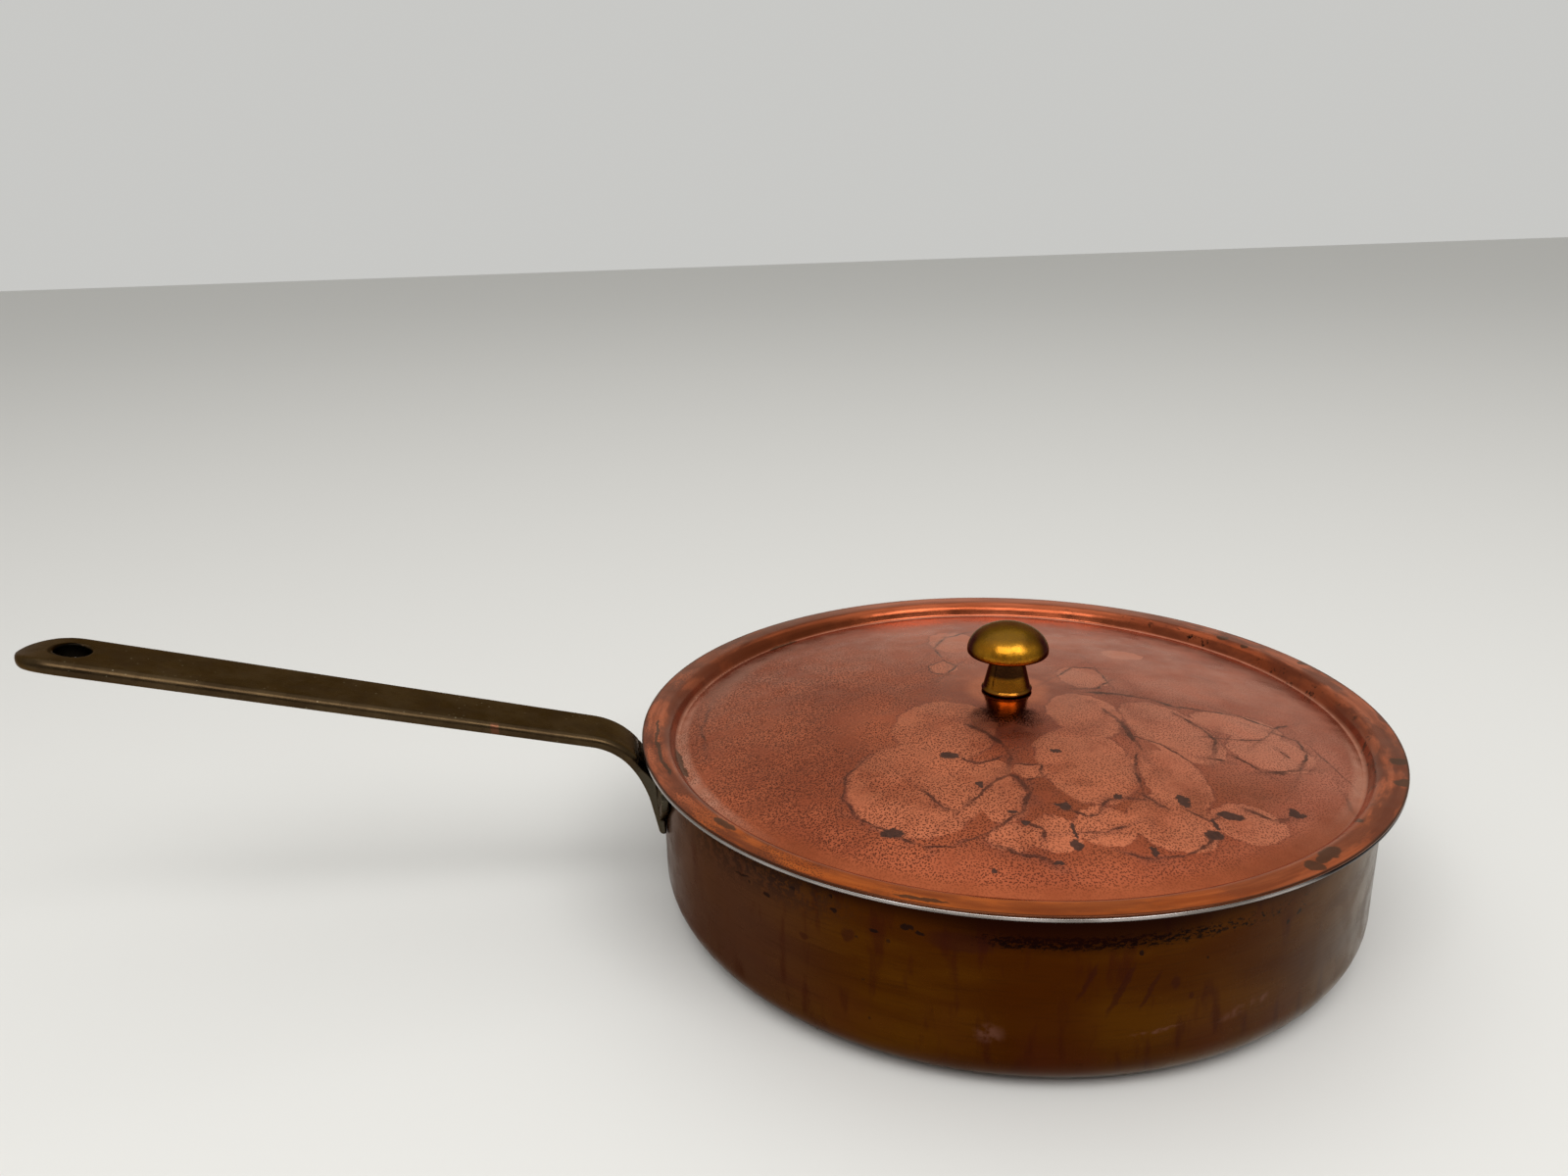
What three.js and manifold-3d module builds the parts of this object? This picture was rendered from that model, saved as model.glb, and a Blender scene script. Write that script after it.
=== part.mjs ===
// A straight-sided copper saute pan with a long brass handle and a domed lid that lifts off.
// Millimetres, +Z up. The origin is the centre of the flat base, and the handle points along -X.
import * as THREE from "three";
import { mergeVertices } from "three/addons/utils/BufferGeometryUtils.js";
import Module from "manifold-3d";

const wasm = await Module();
wasm.setup();

// Pan: copper outside, steel inside
const panRadius = 120; // outside of the wall
const panHeight = 58.9; // rim above the table
const panCorner = 13; // outside radius between base and wall
const panCopper = 1.2;
const panSteel = 0.6;

// Lid: a copper sheet over a steel sheet, both pressed to one form
const lidOverhang = 6; // edge of the flange beyond the pan's wall
const lidCopper = 0.6;
const lidSteel = 0.6;
const lidInset = 1; // from the lining of the pan to the line where the flange turns down
const lidDropRun = 2.2; // from that line in to the fold between drop and dome
const lidDrop = 5.3; // depth of the fold under the flange
const lidRise = 8.7; // top of the dome above the flange
const lidBend = 2.2; // radius of the bend from flange to drop, on top
const lidFoldBend = 1.5; // radius of the fold, on top
const lidHemDepth = 1.4; // height of the steel edge that shows round the flange
const lidHemWall = 1.0;

// Knob, turned from one bar, and what holds it
const knobRadius = 13.8; // widest line of the cap
const knobCap = 9.6; // cap above its widest line
const knobLip = 1.1; // cap below its widest line
const knobStem = 13; // from the foot to the underside of the cap
const knobStemTop = 5.2; // radius under the cap
const knobStemFoot = 7.8; // radius above the foot ring
const knobFootRing = 8.6;
const knobFootHeight = 0.8;
const screwRadius = 2.4;
const screwInKnob = 10; // length of the screw inside the knob
const screwHead = 4.8; // radius of the head
const screwHeadHeight = 2.6;
const screwSlotWidth = 1.2;
const screwSlotDepth = 1.2;
const washerRadius = 7.5;
const washerThickness = 1;

// Handle: one brass casting, its plate riveted to the wall
const eyeFromWall = 176.5; // centre of the hanging eye from the pan's wall
const handleSlope = 14.1; // rise of the bar, degrees
const barThicknessAtNeck = 4.1;
const barThicknessAtEye = 4.7;
const barWidthAtNeck = 20;
const barWidthAtEye = 23.6;
const barEdge = 1.9; // rounding of the long edges
const noseLength = 14.9; // from the eye's centre to the tip
const noseDroop = 20; // the nose turns down by this many degrees
const noseThinning = 0.6; // thickness at the tip as a share of the bar's
const eyeRadius = 5.2;
const eyeChamfer = 0.9;
const neckTurn = 21.2; // radius of the bend from bar to neck, under the bar
const neckSweep = 44; // radius of the sweep from neck to plate, under the neck
const neckAngle = 60; // where the two meet, degrees above level
const rootAngle = 78.5; // lean of the neck where it leaves the plate, degrees above level
const rootLength = 11.2; // straight stretch of the neck on the plate
const rootHalfWidth = 9.2;
const rootStand = 2; // height of that stretch off the wall, at its foot
const ledgeDrop = 1.2; // flat top of the root below the pan's rim
const lidClearance = 1.5; // between the lid's edge and the neck
const plateDrop = 28.6; // foot of the plate below the pan's rim
const plateThicknessLow = 2.1;
const plateThicknessHigh = 3;
const plateTopHalfWidth = 12.5;

// Rivets: two beside the neck and one below it
const rivetDrop = 11.9; // the upper two below the pan's rim
const rivetUpperY = 12.8;
const plateLobeUpper = 5.8; // plate round the rivets
const plateLobeLower = 7.7;
const rivetShank = 2.5;
const rivetHead = 5.2;
const rivetHeadHeight = 2.2;
const rivetEnd = 3.4; // peened end, outside
const rivetEndHeight = 0.7;

// Clearances between pieces that touch
const seatGap = 0.3;
const cladGap = 0.2;

// Facets
const roundFaces = 60;
const smallFaces = 32;
const tinyFaces = 20;

// Heights and radii that follow from these
const liningRadius = panRadius - panCopper - cladGap;
const insideRadius = liningRadius - panSteel;
const lidRadius = panRadius + lidOverhang;
const lidDropFrom = insideRadius - lidInset;
const lidFold = lidDropFrom - lidDropRun;
const lidThickness = lidCopper + cladGap + lidSteel;
const flangeTop = panHeight + seatGap + lidThickness;
const domeTop = flangeTop + lidRise;
const footZ = domeTop + seatGap;
const ledgeZ = panHeight - ledgeDrop;
const wallFace = panRadius + seatGap;
const plateBottom = panHeight - plateDrop;
const rivetUpperZ = panHeight - rivetDrop;
const rivetLowerZ = plateBottom + plateLobeLower;
const eyeReach = panRadius + eyeFromWall;
const cutReach = 15; // how far the cuts for the rivets run past the wall, both ways

const rad = THREE.MathUtils.degToRad;
const point = (x, y) => new THREE.Vector2(x, y);

// Points of an arc in a profile, from one angle to another, in degrees.
function arc(cx, cy, radius, from, to, steps) {
  const points = [];
  for (let i = 0; i <= steps; i++) {
    const angle = rad(from + ((to - from) * i) / steps);
    points.push(point(cx + radius * Math.cos(angle), cy + radius * Math.sin(angle)));
  }
  return points;
}

// A solid turned about the Z axis. Its profile, (radius, height), may run either way round.
function revolve(profile, faces) {
  const points = profile.map((p) => p.clone());
  const onAxis = points[0].x < 1e-9 && points.at(-1).x < 1e-9;
  if (!onAxis) points.push(points[0].clone());
  let area = 0;
  points.forEach((p, i) => {
    area += p.cross(points[(i + 1) % points.length]);
  });
  if (area < 0) points.reverse();
  const geometry = new THREE.LatheGeometry(points, faces);
  geometry.rotateX(Math.PI / 2);
  return geometry;
}

// A geometry as a solid that can be joined and cut, and back.
function toSolid(geometry) {
  const bare = geometry.clone();
  bare.deleteAttribute("normal");
  bare.deleteAttribute("uv");
  const merged = mergeVertices(bare, 1e-4);
  const mesh = new wasm.Mesh({
    numProp: 3,
    vertProperties: merged.attributes.position.array,
    triVerts: new Uint32Array(merged.index.array),
  });
  return new wasm.Manifold(mesh);
}

function toGeometry(solid) {
  const mesh = solid.getMesh();
  const geometry = new THREE.BufferGeometry();
  geometry.setAttribute("position", new THREE.BufferAttribute(mesh.vertProperties, 3));
  geometry.setIndex(new THREE.BufferAttribute(mesh.triVerts, 1));
  geometry.computeVertexNormals();
  return geometry;
}

// A skin through closed sections with equally many points, closed by a flat face at each end.
function loft(sections) {
  const count = sections[0].length;
  const positions = sections.flat().flatMap((p) => [p.x, p.y, p.z]);
  const index = [];
  for (let s = 0; s + 1 < sections.length; s++) {
    for (let i = 0; i < count; i++) {
      const a = s * count + i;
      const b = s * count + ((i + 1) % count);
      index.push(a, b, b + count, a, b + count, a + count);
    }
  }
  const last = (sections.length - 1) * count;
  for (let i = 1; i + 1 < count; i++) {
    index.push(0, i + 1, i, last, last + i, last + i + 1);
  }
  const geometry = new THREE.BufferGeometry();
  geometry.setAttribute("position", new THREE.Float32BufferAttribute(positions, 3));
  geometry.setIndex(index);
  return geometry;
}

// A cup's profile: flat floor, round corner, straight wall.
function cupProfile(radius, floorZ, corner, rimZ, wall) {
  const cornerSteps = 4;
  return [
    point(0, floorZ),
    ...arc(radius - corner, floorZ + corner, corner, -90, 0, cornerSteps),
    point(radius, rimZ),
    point(radius - wall, rimZ),
    ...arc(radius - corner, floorZ + corner, corner - wall, 0, -90, cornerSteps),
    point(0, floorZ + wall),
  ];
}

// The lid's upper face as a line from its centre out to its edge.
function lidLine() {
  const chord = lidRise + lidDrop;
  const domeRadius = (lidFold ** 2 + chord ** 2) / (2 * chord);
  const domeCentre = domeTop - domeRadius;
  const foldZ = flangeTop - lidDrop;
  const domeEdge = THREE.MathUtils.radToDeg(Math.asin(lidFold / domeRadius));
  const run = lidDropFrom - lidFold;
  const dropAngle = THREE.MathUtils.radToDeg(Math.atan2(lidDrop, run));
  // The fold is a small arc that touches dome and drop, and the bend one that touches drop and flange.
  const foldTurn = rad((domeEdge + dropAngle) / 2);
  const foldCentreZ = foldZ + lidFoldBend / Math.cos(foldTurn);
  const bendTurn = rad(dropAngle / 2);
  const bendStart = lidDropFrom + lidBend * Math.tan(bendTurn);
  const dome = [];
  const domeSteps = 5;
  for (let i = 0; i < domeSteps; i++) {
    const angle = rad((domeEdge * i) / domeSteps);
    dome.push(point(domeRadius * Math.sin(angle), domeCentre + domeRadius * Math.cos(angle)));
  }
  return [
    ...dome,
    ...arc(lidFold, foldCentreZ, lidFoldBend, -90 - domeEdge, -90 + dropAngle, 3),
    ...arc(bendStart, flangeTop - lidBend, lidBend, 90 + dropAngle, 90, 2),
    point(lidRadius, flangeTop),
  ];
}

// That line moved down, square to itself, by a depth.
function sunkLine(line, depth) {
  return line.map((p, i) => {
    const before = line[Math.max(i - 1, 0)];
    const after = line[Math.min(i + 1, line.length - 1)];
    const along = after.clone().sub(before).normalize();
    if (i === 0) along.set(1, 0);
    if (i === line.length - 1) along.set(1, 0);
    return point(p.x + along.y * depth, p.y - along.x * depth);
  });
}

// A round hole or shaft that lies along the pan's radius.
function radialPiece(profile, y, z, faces) {
  const geometry = revolve(profile, faces);
  geometry.rotateY(-Math.PI / 2);
  geometry.translate(0, 0, z);
  geometry.rotateZ(-Math.asin(y / panRadius));
  return geometry;
}

const rivetPlaces = [
  { name: "rivet_upper_left", y: -rivetUpperY, z: rivetUpperZ },
  { name: "rivet_upper_right", y: rivetUpperY, z: rivetUpperZ },
  { name: "rivet_lower", y: 0, z: rivetLowerZ },
];

function rivetHole(place) {
  const radius = rivetShank + seatGap;
  const from = insideRadius - cutReach;
  const to = panRadius + cutReach;
  const profile = [point(0, from), point(radius, from), point(radius, to), point(0, to)];
  return toSolid(radialPiece(profile, place.y, place.z, tinyFaces));
}

// A flat seat in the casting for the rivet's peened end.
function spotFace(place) {
  const radius = rivetEnd + seatGap;
  const from = plateFace(place.z);
  const to = panRadius + cutReach;
  const profile = [point(0, from), point(radius, from), point(radius, to), point(0, to)];
  return toSolid(radialPiece(profile, place.y, place.z, tinyFaces));
}

// How far the plate's outer face stands from the pan's axis at a height.
function plateFace(z) {
  const share = (z - plateBottom) / (ledgeZ - plateBottom);
  return wallFace + THREE.MathUtils.lerp(plateThicknessLow, plateThicknessHigh, share);
}

function rivet(place) {
  const seat = insideRadius - seatGap;
  const end = plateFace(place.z) + seatGap;
  const dome = (rivetHead ** 2 + rivetHeadHeight ** 2) / (2 * rivetHeadHeight);
  const sweep = THREE.MathUtils.radToDeg(Math.asin(rivetHead / dome));
  const head = arc(0, seat - rivetHeadHeight + dome, dome, -90, -90 + sweep, 5);
  head[0].x = 0;
  const profile = [
    ...head,
    point(rivetShank, seat),
    point(rivetShank, end),
    point(rivetEnd, end),
    point(rivetEnd - rivetEndHeight, end + rivetEndHeight),
    point(0, end + rivetEndHeight),
  ];
  return radialPiece(profile, place.y, place.z, tinyFaces);
}

function panShell(radius, floorZ, corner, wall) {
  const cup = toSolid(revolve(cupProfile(radius, floorZ, corner, panHeight, wall), roundFaces));
  return rivetPlaces.reduce((solid, place) => solid.subtract(rivetHole(place)), cup);
}

function panBody() {
  return toGeometry(panShell(panRadius, 0, panCorner, panCopper));
}

function panLining() {
  const inset = panCopper + cladGap;
  return toGeometry(panShell(liningRadius, inset, panCorner - inset, panSteel));
}

// The hole for the screw, through both sheets of the lid.
function lidHole() {
  const radius = screwRadius + seatGap;
  const low = flangeTop - lidDrop;
  const high = domeTop + lidRise;
  const profile = [point(0, low), point(radius, low), point(radius, high), point(0, high)];
  return toSolid(revolve(profile, tinyFaces));
}

function lidShell() {
  const top = lidLine();
  const under = sunkLine(top, lidCopper);
  return toGeometry(toSolid(revolve([...top, ...under.reverse()], roundFaces)).subtract(lidHole()));
}

// The steel sheet ends in a thicker edge, which shows under the copper all round.
function lidLining() {
  const top = sunkLine(lidLine(), lidCopper + cladGap);
  const under = sunkLine(lidLine(), lidThickness);
  const hemTop = top.at(-1).y;
  const hemLow = hemTop - lidHemDepth;
  const hemInside = lidRadius - lidHemWall;
  under.at(-1).x = hemInside;
  const profile = [...top, point(lidRadius, hemLow), point(hemInside, hemLow), ...under.reverse()];
  return toGeometry(toSolid(revolve(profile, roundFaces)).subtract(lidHole()));
}

function knob() {
  const bore = screwRadius + seatGap;
  const boreTop = footZ + screwInKnob + seatGap;
  const capUnder = footZ + knobStem;
  const widest = capUnder + knobLip;
  const cap = [];
  const capSteps = 8;
  for (let i = 0; i <= capSteps; i++) {
    const angle = rad((90 * i) / capSteps);
    cap.push(point(knobRadius * Math.cos(angle), widest + knobCap * Math.sin(angle)));
  }
  cap.at(-1).x = 0;
  const profile = [
    point(0, boreTop),
    point(bore, boreTop),
    point(bore, footZ),
    point(knobFootRing, footZ),
    point(knobFootRing, footZ + knobFootHeight),
    point(knobStemFoot, footZ + 2 * knobFootHeight),
    point(knobStemTop, capUnder - knobLip),
    point(knobStemTop + knobLip, capUnder),
    ...arc(knobRadius - knobLip, widest, knobLip, -90, -30, 2),
    ...cap,
  ];
  return revolve(profile, smallFaces);
}

function knobWasher() {
  const top = domeTop - lidThickness - seatGap;
  const bore = screwRadius + seatGap;
  const profile = [
    point(bore, top),
    point(washerRadius, top),
    point(washerRadius, top - washerThickness),
    point(bore, top - washerThickness),
  ];
  return revolve(profile, tinyFaces);
}

function knobScrew() {
  const seat = domeTop - lidThickness - 2 * seatGap - washerThickness;
  const end = footZ + screwInKnob;
  const crown = seat - screwHeadHeight;
  const profile = [
    point(0, crown),
    point(screwHead - screwHeadHeight / 2, crown),
    point(screwHead, seat - screwHeadHeight / 2),
    point(screwHead, seat),
    point(screwRadius, seat),
    point(screwRadius, end),
    point(0, end),
  ];
  const slot = new THREE.BoxGeometry(3 * screwHead, screwSlotWidth, 2 * screwSlotDepth);
  slot.translate(0, 0, crown);
  return toGeometry(toSolid(revolve(profile, tinyFaces)).subtract(toSolid(slot)));
}

// The underside of the handle in the plane Y = 0, from the plate's foot to the tip: each station has a
// place, given as distance from the pan's axis and height, and a heading in degrees above level.
function handleLine() {
  const stations = [];
  let reach = wallFace + rootStand;
  let z = plateBottom;
  let heading = rootAngle;
  const add = () => stations.push({ reach, z, heading });
  const straight = (length, steps) => {
    for (let i = 0; i < steps; i++) {
      reach += (length / steps) * Math.cos(rad(heading));
      z += (length / steps) * Math.sin(rad(heading));
      add();
    }
  };
  const bend = (radius, to, steps) => {
    const turn = (to - heading) / steps;
    for (let i = 0; i < steps; i++) {
      const next = heading + turn;
      reach += radius * (Math.sin(rad(heading)) - Math.sin(rad(next)));
      z += radius * (Math.cos(rad(next)) - Math.cos(rad(heading)));
      heading = next;
      add();
    }
  };
  add();
  straight(rootLength, 2);
  bend(neckSweep, neckAngle, 5);
  bend(neckTurn, handleSlope, 8);
  straight((eyeReach - reach) / Math.cos(rad(heading)), 2);
  // The nose is half an ellipse seen from above, so its stations crowd towards the tip.
  const noseSteps = 9;
  for (let i = 1; i < noseSteps; i++) {
    const along = noseLength * Math.sin(rad((90 * i) / noseSteps));
    const length = (eyeReach + along - reach) / Math.cos(rad(heading));
    straight(length, 1);
    heading = handleSlope - (noseDroop * along) / noseLength;
  }
  return stations;
}

// Width and thickness of the handle at a station. Both taper evenly along the bar, the root is
// thick enough to reach into the plate, and the nose narrows to its tip.
function handleSize({ reach, heading }) {
  const barStart = panRadius + neckTurn;
  const share = THREE.MathUtils.clamp((reach - barStart) / (eyeReach - barStart), 0, 1);
  let halfWidth = THREE.MathUtils.lerp(barWidthAtNeck, barWidthAtEye, share) / 2;
  let thickness = THREE.MathUtils.lerp(barThicknessAtNeck, barThicknessAtEye, share);
  if (heading > neckAngle) {
    const down = (heading - neckAngle) / (rootAngle - neckAngle);
    halfWidth = THREE.MathUtils.lerp(halfWidth, rootHalfWidth, down);
    thickness *= 1 + down;
  }
  let sunk = 0;
  const mostOfHalf = 0.46; // keeps a flat between two rounded edges
  let edge = Math.min(barEdge, thickness * mostOfHalf);
  if (reach > eyeReach) {
    const nose = Math.sqrt(1 - ((reach - eyeReach) / noseLength) ** 2);
    const thinned = thickness * THREE.MathUtils.lerp(noseThinning, 1, Math.sqrt(nose));
    sunk = (thickness - thinned) / 2;
    halfWidth *= nose;
    thickness = thinned;
    edge = Math.min(edge, 2 * halfWidth * mostOfHalf, thickness * mostOfHalf);
  }
  return { halfWidth, thickness, edge, sunk };
}

// A rounded rectangle across the handle at a station, standing on the underside.
function handleSection(station) {
  const { halfWidth, thickness, edge, sunk } = handleSize(station);
  const cornerSteps = 3;
  const corners = [
    { side: 1, up: 0, from: -90 },
    { side: 1, up: 1, from: 0 },
    { side: -1, up: 1, from: 90 },
    { side: -1, up: 0, from: 180 },
  ];
  const lean = rad(station.heading);
  return corners.flatMap(({ side, up, from }) => {
    const cy = side * (halfWidth - edge);
    const cz = up ? thickness - edge : edge;
    return arc(cy, cz, edge, from, from + 90, cornerSteps).map((p) => {
      const rise = p.y + sunk;
      const reach = station.reach - rise * Math.sin(lean);
      const z = station.z + rise * Math.cos(lean);
      return new THREE.Vector3(-reach, -p.x, z);
    });
  });
}

// The plate's outline seen from the handle's end: round lobes about the rivets, joined by straight
// flanks, running up to the flat ledge under the lid.
function plateOutline() {
  const rise = rivetUpperZ - rivetLowerZ;
  const distance = Math.hypot(rivetUpperY, rise);
  const towards = Math.atan2(rise, rivetUpperY);
  const flank = THREE.MathUtils.radToDeg(
    towards - Math.acos((plateLobeLower - plateLobeUpper) / distance),
  );
  const shoulder = 50; // where the upper lobes turn in towards the neck, degrees
  const steps = 5;
  const right = [
    point(plateTopHalfWidth, ledgeZ),
    ...arc(rivetUpperY, rivetUpperZ, plateLobeUpper, shoulder, flank, steps),
    ...arc(0, rivetLowerZ, plateLobeLower, flank, -90, steps),
  ];
  const left = right.slice(0, -1).map((p) => point(-p.x, p.y));
  return [...right, ...left.reverse()];
}

function plate() {
  const depth = 2 * cutReach;
  const slab = new THREE.ExtrudeGeometry(new THREE.Shape(plateOutline()), {
    depth,
    bevelEnabled: false,
  });
  // The outline's own X and Y become the part's Y and Z, and the slab runs outwards along -X.
  slab.rotateX(Math.PI / 2);
  slab.rotateZ(-Math.PI / 2);
  slab.translate(depth - panRadius - cutReach, 0, 0);
  const profile = [
    point(wallFace, 0),
    point(plateFace(0), 0),
    point(plateFace(ledgeZ), ledgeZ),
    point(wallFace, ledgeZ),
  ];
  return toSolid(slab).intersect(toSolid(revolve(profile, 2 * roundFaces)));
}

function wallCutter() {
  const profile = [
    point(0, 0),
    point(wallFace, 0),
    point(wallFace, domeTop),
    point(0, domeTop),
  ];
  return toSolid(revolve(profile, 2 * roundFaces));
}

// Room for the lid's edge above the root's ledge.
function lidNotch() {
  const radius = lidRadius + lidClearance;
  const profile = [
    point(0, ledgeZ),
    point(radius, ledgeZ),
    point(radius, domeTop),
    point(0, domeTop),
  ];
  return toSolid(revolve(profile, 2 * roundFaces));
}

// The hanging eye, square to the bar, with its rims eased.
function eyeCutter() {
  const half = barThicknessAtEye / 2;
  const straightHalf = half - eyeChamfer;
  const past = 2; // how far the cut runs out of the bar
  const wide = eyeRadius + eyeChamfer + past;
  const profile = [
    point(0, -half - past),
    point(wide, -half - past),
    point(eyeRadius, -straightHalf),
    point(eyeRadius, straightHalf),
    point(wide, half + past),
    point(0, half + past),
  ];
  const eye = handleLine().find((s) => Math.abs(s.reach - eyeReach) < 1e-6);
  const lean = rad(handleSlope);
  const cutter = revolve(profile, smallFaces);
  cutter.rotateY(lean);
  cutter.translate(-eye.reach + half * Math.sin(lean), 0, eye.z + half * Math.cos(lean));
  return toSolid(cutter);
}

function handle() {
  const bar = toSolid(loft(handleLine().map(handleSection)));
  const cutters = [wallCutter(), lidNotch(), eyeCutter()];
  for (const place of rivetPlaces) cutters.push(rivetHole(place), spotFace(place));
  return toGeometry(cutters.reduce((solid, cutter) => solid.subtract(cutter), bar.add(plate())));
}

const agedCopper = new THREE.MeshStandardMaterial({ color: 0x5a3418, roughness: 0.35, metalness: 1 });
const brightCopper = new THREE.MeshStandardMaterial({ color: 0xb5654a, roughness: 0.35, metalness: 1 });
const steel = new THREE.MeshStandardMaterial({ color: 0xc4c4c0, roughness: 0.3, metalness: 1 });
const darkBrass = new THREE.MeshStandardMaterial({ color: 0x4a3c22, roughness: 0.4, metalness: 1 });
const yellowBrass = new THREE.MeshStandardMaterial({ color: 0xb08a2e, roughness: 0.25, metalness: 1 });

const pan = new THREE.Group();
const lid = new THREE.Group();

function add(group, name, geometry, material) {
  const mesh = new THREE.Mesh(geometry, material);
  mesh.name = name;
  group.add(mesh);
}

add(pan, "pan_body", panBody(), agedCopper);
add(pan, "pan_lining", panLining(), steel);
add(pan, "handle", handle(), darkBrass);
for (const place of rivetPlaces) add(pan, place.name, rivet(place), brightCopper);
add(lid, "lid_shell", lidShell(), brightCopper);
add(lid, "lid_lining", lidLining(), steel);
add(lid, "knob", knob(), yellowBrass);
add(lid, "knob_washer", knobWasher(), steel);
add(lid, "knob_screw", knobScrew(), steel);

const sautePan = new THREE.Group();
sautePan.add(pan, lid);
export default sautePan;
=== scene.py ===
"""A copper saute pan with a long brass handle and a domed lid, dressed round its CAD frame.

Lengths are in millimetres up to the last step of each piece, which turns them into metres.
+Z is up, the origin is the centre of the flat base, and the handle points along -X.
"""

import math
from types import SimpleNamespace

import bmesh
import bpy
from mathutils import Matrix, Vector


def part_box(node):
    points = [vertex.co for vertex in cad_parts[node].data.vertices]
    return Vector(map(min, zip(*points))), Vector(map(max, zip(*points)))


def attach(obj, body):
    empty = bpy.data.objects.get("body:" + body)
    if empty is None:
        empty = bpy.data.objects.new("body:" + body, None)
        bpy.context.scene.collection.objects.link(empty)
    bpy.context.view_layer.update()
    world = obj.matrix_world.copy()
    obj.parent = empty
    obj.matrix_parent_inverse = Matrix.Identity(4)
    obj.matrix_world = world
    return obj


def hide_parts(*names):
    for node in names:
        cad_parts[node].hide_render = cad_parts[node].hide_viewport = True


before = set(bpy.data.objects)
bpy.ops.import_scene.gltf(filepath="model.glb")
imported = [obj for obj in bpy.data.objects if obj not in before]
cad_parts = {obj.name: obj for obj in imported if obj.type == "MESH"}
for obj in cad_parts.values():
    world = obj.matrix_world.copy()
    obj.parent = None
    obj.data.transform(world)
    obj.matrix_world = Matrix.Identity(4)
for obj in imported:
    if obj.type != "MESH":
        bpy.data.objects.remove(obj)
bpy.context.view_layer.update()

# Sizes read from the frame
METRE = 1000
pan_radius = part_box("pan_body")[1].y * METRE
pan_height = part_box("pan_body")[1].z * METRE
lid_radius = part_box("lid_shell")[1].y * METRE
dome_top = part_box("lid_shell")[1].z * METRE
knob_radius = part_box("knob")[1].y * METRE
knob_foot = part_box("knob")[0].z * METRE
knob_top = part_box("knob")[1].z * METRE

# Sizes repeated from the CAD source
pan_corner = 13
pan_wall = 2.0
lid_rise = 8.7
lid_drop = 5.3
lid_drop_run = 2.2
lid_inset = 1
lid_bend = 2.2
lid_fold_bend = 1.5
lid_thickness = 1.4
hem_wall = 1.0
screw_hole = 2.7
handle_slope = 14.1
bar_thickness = (4.1, 4.7)
bar_width = (20, 23.6)
eye_from_wall = 176.5
eye_radius = 5.2
nose_droop = 20
nose_thinning = 0.6
neck_turn = 21.2
neck_sweep = 44
neck_angle = 60
root_angle = 78.5
root_length = 11.2
root_half_width = 9.2
root_stand = 2
ledge_drop = 1.2
lid_clearance = 1.5
plate_drop = 28.6
plate_thickness = (2.1, 3)
plate_top_half_width = 12.5
rivet_drop = 11.9
rivet_side = 12.8
lobe_upper = 5.8
lobe_lower = 7.7
rivet_shank = 2.5
rivet_head = 5.2
rivet_head_height = 2.2
rivet_end = 3.4

# Sizes of the scene's own: the gaps of the CAD source nearly closed, and its edges softer
plate_gap = 0.1
lining_gap = 0.02
pan_copper = 1.3
lid_copper = 0.7
lid_roll = 4.2
hem_depth = 2.2
bar_edge = 2.3
nose_length = 14.6
rivet_end_height = 0.15

# Places that follow from these
flange_top = dome_top - lid_rise
wall_face = pan_radius + plate_gap
ledge = pan_height - ledge_drop
plate_bottom = pan_height - plate_drop
rivet_upper = pan_height - rivet_drop
rivet_lower = plate_bottom + lobe_lower
eye_reach = pan_radius + eye_from_wall

# Segments of the rings that join or cut the handle
handle_ring = 360


def lerp(a, b, share):
    return a + (b - a) * share


def arc(cx, cy, radius, start, end, steps):
    """Points of an arc between two angles in degrees."""
    angles = [math.radians(lerp(start, end, i / steps)) for i in range(steps + 1)]
    return [(cx + radius * math.cos(a), cy + radius * math.sin(a)) for a in angles]


def rounded(corners, steps=6):
    """An open outline whose corners, (x, y, radius), are rounded where the radius isn't 0."""
    points = []
    for i, (x, y, radius) in enumerate(corners):
        here = Vector((x, y))
        if not radius or i in (0, len(corners) - 1):
            points.append((x, y))
            continue
        back = (Vector(corners[i - 1][:2]) - here).normalized()
        on = (Vector(corners[i + 1][:2]) - here).normalized()
        half = math.acos(max(-1, min(1, back.dot(on)))) / 2
        reach = radius / math.tan(half)
        centre = here + (back + on).normalized() * (radius / math.sin(half))
        first = here + back * reach - centre
        last = here + on * reach - centre
        turn = first.angle_signed(last)
        for step in range(steps + 1):
            swung = Matrix.Rotation(-turn * step / steps, 2) @ first
            points.append(tuple(centre + swung))
    return points


def mesh_object(name, mesh):
    """An object of a bmesh, still in millimetres."""
    data = bpy.data.meshes.new(name)
    bmesh.ops.recalc_face_normals(mesh, faces=mesh.faces)
    mesh.to_mesh(data)
    mesh.free()
    made = bpy.data.objects.new(name, data)
    bpy.context.scene.collection.objects.link(made)
    return made


def turned(name, profile, segments=256):
    """A solid turned about the Z axis from its profile of (radius, height)."""
    on_axis = 1e-6
    mesh = bmesh.new()
    rings = []
    for radius, height in profile:
        if radius < on_axis:
            rings.append([mesh.verts.new((0, 0, height))])
            continue
        ring = []
        for i in range(segments):
            angle = math.tau * i / segments
            x, y = radius * math.cos(angle), radius * math.sin(angle)
            ring.append(mesh.verts.new((x, y, height)))
        rings.append(ring)
    pairs = list(zip(rings, rings[1:]))
    if len(rings[0]) > 1 or len(rings[-1]) > 1:
        pairs.append((rings[-1], rings[0]))
    for low, high in pairs:
        for i in range(segments):
            j = (i + 1) % segments
            places = ((low, i), (low, j), (high, j), (high, i))
            corners = list(dict.fromkeys(ring[k % len(ring)] for ring, k in places))
            if len(corners) > 2:
                mesh.faces.new(corners)
    return mesh_object(name, mesh)


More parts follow.
